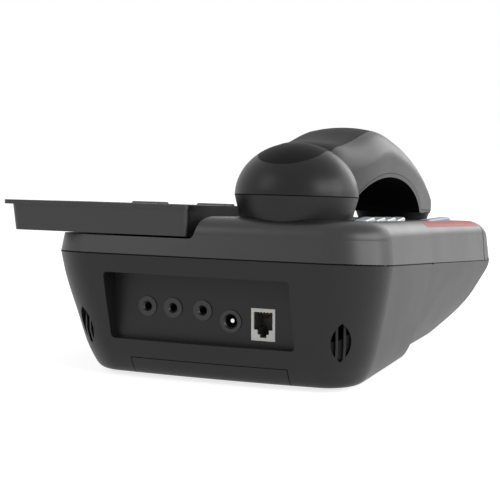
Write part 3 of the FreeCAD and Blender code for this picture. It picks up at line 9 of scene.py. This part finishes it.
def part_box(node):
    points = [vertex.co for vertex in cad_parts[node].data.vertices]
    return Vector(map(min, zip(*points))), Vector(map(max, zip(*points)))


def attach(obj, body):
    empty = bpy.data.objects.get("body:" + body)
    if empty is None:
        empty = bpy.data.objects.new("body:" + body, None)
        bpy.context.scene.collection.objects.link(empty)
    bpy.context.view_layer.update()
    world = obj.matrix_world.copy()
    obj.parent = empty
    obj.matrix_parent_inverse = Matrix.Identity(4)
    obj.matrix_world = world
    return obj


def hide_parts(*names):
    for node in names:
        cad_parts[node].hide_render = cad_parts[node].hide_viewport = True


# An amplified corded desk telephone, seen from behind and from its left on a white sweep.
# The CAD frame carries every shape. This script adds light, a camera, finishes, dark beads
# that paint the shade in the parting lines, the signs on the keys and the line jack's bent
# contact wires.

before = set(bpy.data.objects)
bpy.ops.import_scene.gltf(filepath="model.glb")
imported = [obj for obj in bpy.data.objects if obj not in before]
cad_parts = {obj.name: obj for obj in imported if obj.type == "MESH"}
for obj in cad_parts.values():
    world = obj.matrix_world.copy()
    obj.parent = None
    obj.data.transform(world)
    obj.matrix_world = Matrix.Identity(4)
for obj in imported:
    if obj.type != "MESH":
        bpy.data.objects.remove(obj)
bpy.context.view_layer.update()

MM_PER_METRE = 1000


def corners(node):
    """The low and the high corner of a node's box."""
    return [Vector(corner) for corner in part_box(node)]


def add_object(name, data):
    """A new object in the scene."""
    thing = bpy.data.objects.new(name, data)
    bpy.context.scene.collection.objects.link(thing)
    return thing


# Places are in millimetres from the middle of the rear wall, on the table. The deck and the
# shells' parting line fall to the front, each at its own angle.
hull_low, hull_high = corners("base_hull")
ZERO = Vector(((hull_low.x + hull_high.x) / 2, hull_high.y, 0.0))
PARTING_HEIGHT = 65.0
DECK_TILT = math.radians(4.5)
PARTING_TILT = math.radians(5.5)
DECK_UP = Vector((0.0, -math.sin(DECK_TILT), math.cos(DECK_TILT)))
DECK_BACK = Vector((0.0, math.cos(DECK_TILT), math.sin(DECK_TILT)))
PARTING_UP = Vector((0.0, -math.sin(PARTING_TILT), math.cos(PARTING_TILT)))


def spot(x, y, z):
    """A place given in millimetres from the rear wall's middle."""
    return ZERO + Vector((x, y, z)) / MM_PER_METRE


# Camera: the photograph's place, direction and field of view.
CAMERA_PLACE = (-254.1, 541.8, 135.3)
CAMERA_TURN = math.radians(22.7)
CAMERA_PITCH = math.radians(6.34)
FOCAL_PIXELS = 1260
IMAGE_PIXELS = 500
SENSOR_WIDTH = 36.0
NEAREST_SEEN = 0.01
FARTHEST_SEEN = 50.0

camera_data = bpy.data.cameras.new("camera")
camera = add_object("camera", camera_data)
camera.location = spot(*CAMERA_PLACE)
look = Vector((math.sin(CAMERA_TURN) * math.cos(CAMERA_PITCH),
               -math.cos(CAMERA_TURN) * math.cos(CAMERA_PITCH),
               -math.sin(CAMERA_PITCH)))
camera.rotation_euler = look.to_track_quat("-Z", "Y").to_euler()
camera_data.sensor_width = SENSOR_WIDTH
camera_data.sensor_fit = "HORIZONTAL"
camera_data.lens = FOCAL_PIXELS / IMAGE_PIXELS * SENSOR_WIDTH
camera_data.clip_start = NEAREST_SEEN
camera_data.clip_end = FARTHEST_SEEN
bpy.context.scene.camera = camera
bpy.context.scene.view_settings.view_transform = "Standard"


class Nodes:
    """A short way to add and join the nodes of a tree."""

    def __init__(self, tree):
        self.tree = tree

    def add(self, kind, **inputs):
        """A new node. Its inputs take a value, or the output that feeds them."""
        node = self.tree.nodes.new("ShaderNode" + kind)
        for name, value in inputs.items():
            self.set(node, name.replace("_", " "), value)
        return node

    def set(self, node, name, value):
        """Give an input, by name or by number, a value or the output that feeds it."""
        socket = node.inputs[name]
        if isinstance(value, bpy.types.NodeSocket):
            self.tree.links.new(value, socket)
        else:
            socket.default_value = value

    def blend(self, factor, a, b, kind="MIX"):
        """The colour that two colours give together."""
        node = self.add("Mix")
        node.data_type = "RGBA"
        node.blend_type = kind
        for name, value in (("Factor", factor), ("A", a), ("B", b)):
            self.set(node, name, value)
        return node.outputs["Result"]

    def noise(self, **inputs):
        """A noise over the object's own places."""
        place = self.add("TexCoord").outputs["Object"]
        return self.add("TexNoise", Vector=place, **inputs).outputs["Fac"]

    def vary(self, noise, middle, down, up):
        """A value that a noise moves down and up from its middle."""
        return self.add("MapRange", Value=noise, To_Min=middle - down,
                        To_Max=middle + up).outputs["Result"]


def material_from(name, build):
    """A material whose surface is what build gives for its nodes."""
    material = bpy.data.materials.new(name)
    material.use_nodes = True
    material.node_tree.nodes.clear()
    n = Nodes(material.node_tree)
    n.add("OutputMaterial", Surface=build(n))
    return material


def grey(value):
    """A colour with no hue."""
    return (value, value, value, 1.0)


# Plastic: a spark-eroded grain of this height, and mottling of this many spots in a metre
# that also makes the gloss a little uneven.
GRAIN_HEIGHT = 0.0001
MOTTLE_SCALE = 45.0
PLASTIC_SMOOTHER = 0.04
PLASTIC_ROUGHER = 0.05

# Metal: fine unevenness of the gloss.
METAL_SCALE = 900.0
METAL_SMOOTHER = 0.06
METAL_ROUGHER = 0.08


def plastic(name, colour, rough=0.42, grain=0.00035, depth=0.12, mottle=0.12, gloss=0.5):
    """Moulded plastic: an even colour, a fine grain and faint mottling."""
    def build(n):
        fine = n.noise(Scale=1 / grain, Detail=2.0, Roughness=0.6)
        broad = n.noise(Scale=MOTTLE_SCALE, Detail=3.0, Roughness=0.55)
        base = n.blend(1.0, (*colour, 1.0), n.vary(broad, 1, mottle, mottle), "MULTIPLY")
        bump = n.add("Bump", Strength=depth, Distance=GRAIN_HEIGHT, Height=fine)
        shader = n.add("BsdfPrincipled", Base_Color=base, Specular_IOR_Level=gloss,
                       Roughness=n.vary(broad, rough, PLASTIC_SMOOTHER, PLASTIC_ROUGHER),
                       Normal=bump.outputs["Normal"])
        return shader.outputs["BSDF"]
    return material_from(name, build)


def metal(name, colour, rough=0.25):
    """Plain metal with a slightly uneven gloss."""
    def build(n):
        fine = n.noise(Scale=METAL_SCALE, Detail=2.0)
        shader = n.add("BsdfPrincipled", Base_Color=(*colour, 1.0), Metallic=1.0,
                       Roughness=n.vary(fine, rough, METAL_SMOOTHER, METAL_ROUGHER))
        return shader.outputs["BSDF"]
    return material_from(name, build)


def red_plastic(n):
    """Clouded plastic that lets some light in, with a faint grain."""
    grain = n.add("Bump", Strength=0.05, Distance=0.0002, Height=n.noise(Scale=400.0))
    shader = n.add("BsdfPrincipled", Base_Color=(0.32, 0.016, 0.015, 1.0), Roughness=0.45,
                   Specular_IOR_Level=0.2, Subsurface_Weight=0.3,
                   Subsurface_Radius=(0.004, 0.001, 0.001), Normal=grain.outputs["Normal"])
    return shader.outputs["BSDF"]


def clear_plastic(n):
    """The display's clear window."""
    shader = n.add("BsdfPrincipled", Base_Color=(0.9, 0.93, 0.9, 1.0),
                   Transmission_Weight=1.0, Roughness=0.03, IOR=1.49)
    return shader.outputs["BSDF"]


# The line jack is pale for this many millimetres behind its front, and then goes dark over
# the next few tenths: painted shade inside its mouth. Its front is found among the faces
# that look to the rear.
JACK_RIM = 0.6
JACK_FADE = 0.4
# The colour of the painted shade inside the jack's mouth.
JACK_PAINTED_SHADE = (0.09, 0.09, 0.088)
REARWARD_LEAST = 0.9


def lined_jack(node):
    """Pale plastic whose inside, behind the front rim, is painted dark as shade."""
    material = plastic("jack_ivory_painted_shade", (0.86, 0.87, 0.84), rough=0.34, depth=0.04,
                       mottle=0.03)
    n = Nodes(material.node_tree)
    shader = next(item for item in n.tree.nodes if item.type == "BSDF_PRINCIPLED")
    pale = shader.inputs["Base Color"].links[0].from_socket
    rearward = [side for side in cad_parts[node].data.polygons
                if side.normal.y > REARWARD_LEAST]
    front = max(rearward, key=lambda side: side.normal.dot(side.center))
    depth = n.add("VectorMath")
    depth.operation = "DOT_PRODUCT"
    n.set(depth, 0, n.add("TexCoord").outputs["Object"])
    n.set(depth, 1, front.normal)
    fade_end = front.normal.dot(front.center) - JACK_RIM / MM_PER_METRE
    painted_shade_mask = n.add("MapRange", Value=depth.outputs["Value"], From_Max=fade_end,
                 From_Min=fade_end - JACK_FADE / MM_PER_METRE)
    # Behind the rim, the mouth takes the painted shade colour.
    n.set(shader, "Base Color", n.blend(painted_shade_mask.outputs["Result"], (*JACK_PAINTED_SHADE, 1.0), pale))
    return material


shell_black = plastic("shell_black", (0.015, 0.015, 0.016), rough=0.40, grain=0.00045,
                      depth=0.22, gloss=0.30)
cover_black = plastic("cover_black", (0.011, 0.011, 0.012), rough=0.36, grain=0.00045,
                      depth=0.20, gloss=0.60)
handset_black = plastic("handset_black", (0.006, 0.006, 0.006), rough=0.35, grain=0.00045,
                        depth=0.20, gloss=0.28)
face_black = plastic("face_black", (0.005, 0.005, 0.005), rough=0.42, depth=0.12, gloss=0.35)
inlay_black = plastic("inlay_black", (0.005, 0.005, 0.006), rough=0.56, depth=0.03,
                      gloss=0.11)
jack_black = plastic("jack_black", (0.012, 0.012, 0.012), rough=0.32, depth=0.05)
key_white = plastic("key_white", (0.60, 0.61, 0.64), rough=0.35, depth=0.05, mottle=0.02)
key_blue = plastic("key_blue", (0.20, 0.24, 0.40), rough=0.35, depth=0.05, mottle=0.04)
rubber = plastic("rubber", (0.02, 0.02, 0.02), rough=0.7, depth=0.3)
board_green = plastic("board_green", (0.02, 0.12, 0.05), rough=0.35, depth=0.1)
part_grey = plastic("part_grey", (0.12, 0.12, 0.13), rough=0.4)
module_grey = plastic("module_grey", (0.20, 0.24, 0.20), rough=0.3, depth=0.02, mottle=0.03)
# Painted shade: near-black that stands for the shadow inside the narrow parting gaps.
painted_gap_shade = plastic("painted_gap_shade", (0.002, 0.002, 0.002), rough=0.8, depth=0.05,
                       gloss=0.1)
print_black = plastic("print_black", (0.02, 0.02, 0.022), rough=0.5, depth=0.03)
screw_steel = metal("screw_steel", (0.55, 0.55, 0.56))
nickel = metal("nickel", (0.72, 0.71, 0.68), 0.2)
gold = metal("gold", (0.85, 0.6, 0.25), 0.22)

# The nodes that have each finish. The other nodes are white keys.
FINISHES = (
    (shell_black, "base_hull battery_door"),
    (cover_black, "top_cover front_trim display_housing display_bezel"),
    (handset_black, "handset_back"),
    (face_black, "handset_face hook_plunger volume_dial tone_slider"),
    (inlay_black, "handset_inlay"),
    (jack_black, "bed_shaker_jack headset_jack neck_loop_jack power_jack handset_cord_jack "
                 "handset_cord_socket"),
    (lined_jack("line_jack"), "line_jack"),
    (key_blue, "boost_key"),
    (material_from("light_red", red_plastic), "light_bar"),
    (material_from("lens_glass", clear_plastic), "display_lens"),
    (module_grey, "display_module"),
    (rubber, "rubber_feet key_mat"),
    (board_green, "main_board key_board"),
    (part_grey, "battery_cells ringer_speaker receiver_speaker microphone"),
    (screw_steel, "housing_screws handset_screws display_hinge_pins handset_weight"),
    (nickel, "battery_contacts power_jack_pin"),
    (gold, "line_jack_contacts"),
)
finish_of = {node: finish for finish, nodes in FINISHES for node in nodes.split()}

for name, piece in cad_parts.items():
    piece.data.materials.clear()
    piece.data.materials.append(finish_of.get(name, key_white))


def new_piece(name, mesh, body, finish):
    """A piece of the phone with its material, which rides on a body."""
    piece = add_object(name, mesh)
    mesh.materials.clear()
    mesh.materials.append(finish)
    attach(piece, body)
    return piece


def wire(name, radius):
    """A curve with no points yet, which draws round wire."""
    curve = bpy.data.curves.new(name, "CURVE")
    curve.dimensions = "3D"
    curve.bevel_depth = radius / MM_PER_METRE
    return curve


def add_strand(curve, points, closed=False):
    """Lead a curve's wire straight from point to point."""
    spline = curve.splines.new("POLY")
    spline.points.add(len(points) - 1)
    for target, point in zip(spline.points, points):
        target.co = (*point, 1.0)
    spline.use_cyclic_u = closed


def mesh_of(name, data):
    """The mesh that a curve or a text gives."""
    holder = add_object(name, data)
    bpy.context.view_layer.update()
    mesh = bpy.data.meshes.new_from_object(
        holder.evaluated_get(bpy.context.evaluated_depsgraph_get()))
    bpy.data.objects.remove(holder)
    return mesh


def surface_of(node, picks=lambda side: True):
    """The picked faces of a node, to find where its surface is and which way it looks."""
    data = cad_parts[node].data
    faces = [tuple(side.vertices) for side in data.polygons if picks(side)]
    return BVHTree.FromPolygons([vertex.co.copy() for vertex in data.vertices], faces)


# Parting lines: dark beads sunk in the surface, so that only a narrow top shows. Their black
# is painted shade, the shadow in the narrow gap between the parts. The width that shows,
# the bead's radius and the gap between its points are in millimetres.
BEAD_RADIUS = 0.7
BEAD_STEP = 0.5
BEAD_ROUNDNESS = 8
SHELL_SEAM_WIDTH = 0.45
HANDSET_SEAM_WIDTH = 0.35
INLAY_SEAM_WIDTH = 0.22
SHELL_SEAM_DROP = 0.1
SHARP_ANGLE = math.radians(30)

# Points this close, in metres, or equal in this many decimals of a metre, are one point.
SAME_PLACE = 1e-6
SAME_PLACE_DIGITS = 6


def chains(edges):
    """Sort loose edges, given as pairs of points, into runs of points."""
    links = {}
    place = {}
    for pair in edges:
        keys = [tuple(round(value, SAME_PLACE_DIGITS) for value in point) for point in pair]
        if keys[0] == keys[1]:
            continue
        for key, other, point in zip(keys, reversed(keys), pair):
            links.setdefault(key, set()).add(other)
            place[key] = Vector(point)
    runs = []
    while links:
        start = next((key for key in links if len(links[key]) == 1), next(iter(links)))
        run = [start]
        while True:
            here = run[-1]
            if not links.get(here):
                links.pop(here, None)
                break
            there = min(links[here])
            for a, b in ((here, there), (there, here)):
                links[a].discard(b)
                if not links[a]:
                    links.pop(a)
            run.append(there)
        runs.append([place[key] for key in run])
    return runs


def longest(runs):
    """The run that goes farthest."""
    return max(runs, key=lambda run: sum((b - a).length for a, b in zip(run, run[1:])))


def thin_out(run, gap):
    """Drop the points of a run that follow the last kept one within a gap."""
    kept = [run[0]]
    for point in run[1:-1]:
        if (point - kept[-1]).length > gap:
            kept.append(point)
    kept.append(run[-1])
    return kept


def slice_runs(node, place, normal):
    """The runs in which a plane cuts a node's mesh."""
    cutter = bmesh.new()
    cutter.from_mesh(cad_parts[node].data)
    bmesh.ops.bisect_plane(cutter, geom=cutter.verts[:] + cutter.edges[:] + cutter.faces[:],
                           plane_co=place, plane_no=normal, clear_inner=True,
                           clear_outer=True)
    pairs = [tuple(vertex.co.copy() for vertex in edge.verts) for edge in cutter.edges]
    cutter.free()
    return chains(pairs)


def rim_runs(node, picks):
    """The sharp edges of a node between a face that is picked and one that isn't."""
    form = bmesh.new()
    form.from_mesh(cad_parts[node].data)
    bmesh.ops.remove_doubles(form, verts=form.verts[:], dist=SAME_PLACE)
    form.normal_update()
    pairs = []
    for edge in form.edges:
        if len(edge.link_faces) != 2:
            continue
        a, b = edge.link_faces
        if picks(a) != picks(b) and a.normal.angle(b.normal, 0.0) > SHARP_ANGLE:
            pairs.append(tuple(vertex.co.copy() for vertex in edge.verts))
    form.free()
    return chains(pairs)


def bead(name, body, run, surface, width):
    """A dark line of painted shade, of a width, along a closed run of points on a surface.
    """
    sink = math.sqrt(BEAD_RADIUS ** 2 - (width / 2) ** 2) / MM_PER_METRE
    middles = []
    for point in thin_out(run[:-1], BEAD_STEP / MM_PER_METRE):
        normal = surface.find_nearest(point)[1]
        middles.append(point - normal * sink)
    curve = wire(name, BEAD_RADIUS)
    curve.bevel_resolution = BEAD_ROUNDNESS
    add_strand(curve, middles, closed=True)
    mesh = mesh_of(name + "_curve", curve)
    for side in mesh.polygons:
        side.use_smooth = True
    new_piece(name, mesh, body, painted_gap_shade)


# How far a face's direction goes up from the deck, or across, to be picked.
UPWARD_LEAST = 0.3
SIDEWAYS_MOST = 0.6
RIM_UP_LEAST = 0.05
RIM_ACROSS_MOST = 0.02


def upward(side):
    """Looks up from the deck."""
    return side.normal.dot(DECK_UP) > UPWARD_LEAST


def sideways(side):
    """Looks mostly along the deck."""
    return abs(side.normal.dot(DECK_UP)) < SIDEWAYS_MOST


def on_rim(side):
    """On the flat upper edge of the handset's lower shell."""
    return abs(side.normal.x) < RIM_ACROSS_MOST and side.normal.dot(DECK_UP) > RIM_UP_LEAST


parting_place = spot(0, 0, PARTING_HEIGHT) - PARTING_UP * (SHELL_SEAM_DROP / MM_PER_METRE)
bead("shell_seam", "base", longest(slice_runs("base_hull", parting_place, PARTING_UP)),
     surface_of("base_hull", sideways), SHELL_SEAM_WIDTH)
bead("handset_seam", "handset", longest(rim_runs("handset_face", on_rim)),
     surface_of("handset_face", sideways), HANDSET_SEAM_WIDTH)
bead("inlay_seam", "handset", longest(rim_runs("handset_inlay", upward)),
     surface_of("handset_inlay", upward), INLAY_SEAM_WIDTH)

# The line jack's contact wires slope down from the top of its mouth, behind the rim. Their
# radius, their fall and their distance from the mouth are in millimetres. The contacts'
# sides are told apart by this many decimals of a metre.
WIRE_RADIUS = 0.30
WIRE_FALL = 4.2
WIRE_RIM = 0.2
CONTACT_DIGITS = 4


def contact_wires(node):
    """Bent wires, one for each contact of a jack."""
    sides = sorted({round(vertex.co.x, CONTACT_DIGITS)
                    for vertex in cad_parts[node].data.vertices})
    low, high = corners(node)
    front = high.y - WIRE_RIM / MM_PER_METRE
    curve = wire("contact_wires", WIRE_RADIUS)
    curve.use_fill_caps = True
    for left, right in zip(sides[::2], sides[1::2]):
        middle = (left + right) / 2
        add_strand(curve, ((middle, low.y, high.z), (middle, front, high.z),
                           (middle, front, high.z - WIRE_RADIUS / MM_PER_METRE),
                           (middle, low.y, high.z - WIRE_FALL / MM_PER_METRE)))
    mesh = mesh_of("contact_wires_curve", curve)
    wires = new_piece("contact_wires", mesh, "base", gold)
    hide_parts(node)


contact_wires("line_jack_contacts")

# Signs printed on the number keys, with their height and thickness in millimetres. The
# key's top is felt for from above, at its middle and a little way off on each side.
SIGNS = {"number_key_star": "*", "number_key_hash": "#"}
SIGNS.update(("number_key_%d" % digit, str(digit)) for digit in range(10))
SIGN_SIZE = 8.8
SIGN_LIFT = 0.06
FEEL_FROM = 50
FEEL_ASIDE = 3


def top_plane(node):
    """The middle of a key's top, and the top's own right, back and up directions."""
    top = surface_of(node)
    low, high = corners(node)
    above = (low + high) / 2 + DECK_UP * (FEEL_FROM / MM_PER_METRE)
    right_way = Vector((1, 0, 0))
    ways = (Vector((0, 0, 0)), DECK_BACK, -DECK_BACK, right_way, -right_way)
    hits = [top.ray_cast(above + way * (FEEL_ASIDE / MM_PER_METRE), -DECK_UP)[0]
            for way in ways]
    middle, back, front, right, left = hits
    across = (right - left).normalized()
    along = (back - front).normalized()
    up = across.cross(along)
    level = max((hit - middle).dot(up) for hit in hits)
    return middle + up * level, across, along, up


def print_sign(node, sign):
    """A plain sign on a key's top."""
    place, *axes = top_plane(node)
    text = bpy.data.curves.new(node + "_sign", "FONT")
    text.body = sign
    text.size = SIGN_SIZE / MM_PER_METRE
    text.extrude = SIGN_LIFT / MM_PER_METRE
    text.align_x = "CENTER"
    text.align_y = "CENTER"
    mesh = mesh_of(node + "_text", text)
    middle = sum((Vector(vertex.co) for vertex in mesh.vertices), Vector())
    middle /= len(mesh.vertices)
    turn = Matrix(axes).transposed().to_4x4()
    centre = Matrix.Translation(Vector((-middle.x, -middle.y, 0)))
    mesh.transform(Matrix.Translation(place) @ turn @ centre)
    new_piece(node + "_sign", mesh, node, print_black)


for node, sign in SIGNS.items():
    print_sign(node, sign)


# A white sweep: the floor and the world are white to the camera, and dimmer to the phone.
# Half the floor's width is in metres.
FLOOR_GLOW = 0.77
FLOOR_TONE = 0.75
FLOOR_HALF = 12.0
WORLD_GLOW = 0.35


def where_seen(n, lit_by, seen_as):
    """One shader for rays that light the phone, and another for the camera's own."""
    path = n.add("LightPath")
    seen = path.outputs["Is Camera Ray"]
    for kind in ("Is Glossy Ray", "Is Transmission Ray"):
        either = n.add("Math")
        either.operation = "MAXIMUM"
        n.set(either, 0, seen)
        n.set(either, 1, path.outputs[kind])
        seen = either.outputs[0]
    mix = n.add("MixShader")
    for index, value in enumerate((seen, lit_by, seen_as)):
        n.set(mix, index, value)
    return mix.outputs[0]


def white_floor(n):
    """Paper white that takes the phone's shadow, lifted to white where it is seen."""
    paper = n.add("BsdfDiffuse", Color=grey(FLOOR_TONE)).outputs[0]
    lift = n.add("Emission", Color=grey(1.0), Strength=FLOOR_GLOW).outputs[0]
    both = n.add("AddShader")
    n.set(both, 0, paper)
    n.set(both, 1, lift)
    return where_seen(n, paper, both.outputs[0])


floor_mesh = bpy.data.meshes.new("floor")
floor_mesh.from_pydata([(-FLOOR_HALF, -FLOOR_HALF, 0), (FLOOR_HALF, -FLOOR_HALF, 0),
                        (FLOOR_HALF, FLOOR_HALF, 0), (-FLOOR_HALF, FLOOR_HALF, 0)],
                       [], [(0, 1, 2, 3)])
floor_mesh.materials.append(material_from("floor_white", white_floor))
floor = add_object("floor", floor_mesh)

world = bpy.data.worlds.new("studio")
bpy.context.scene.world = world
world.use_nodes = True
world.node_tree.nodes.clear()
sky = Nodes(world.node_tree)
dim = sky.add("Background", Color=grey(1.0), Strength=WORLD_GLOW).outputs[0]
bright = sky.add("Background", Color=grey(1.0), Strength=1.0).outputs[0]
sky.add("OutputWorld", Surface=where_seen(sky, dim, bright))

# Soft lights round the phone: turn from the rear towards the handset's side and rise, in
# degrees, and power in watts. Their distance and size are in millimetres.
LIGHTS = (
    ("side_light_rear", 70, 22, 6.0),
    ("side_light", 100, 18, 6.0),
    ("side_light_front", 130, 18, 2.2),
    ("front_light", 165, 18, 3.2),
    ("rear_light", -40, 30, 2.5),
)
LIGHT_DISTANCE = 1500
LIGHT_SIZE = 700
AIM = spot(-20, -110, 60)


def softbox(name, turn, rise, power):
    """A square soft light that faces the phone."""
    turn = math.radians(turn)
    rise = math.radians(rise)
    data = bpy.data.lights.new(name, "AREA")
    data.shape = "SQUARE"
    data.size = LIGHT_SIZE / MM_PER_METRE
    data.energy = power
    lamp = add_object(name, data)
    away = Vector((-math.sin(turn) * math.cos(rise), math.cos(turn) * math.cos(rise),
                   math.sin(rise)))
    lamp.location = AIM + away * LIGHT_DISTANCE / MM_PER_METRE
    lamp.rotation_euler = away.to_track_quat("Z", "Y").to_euler()


for light in LIGHTS:
    softbox(*light)
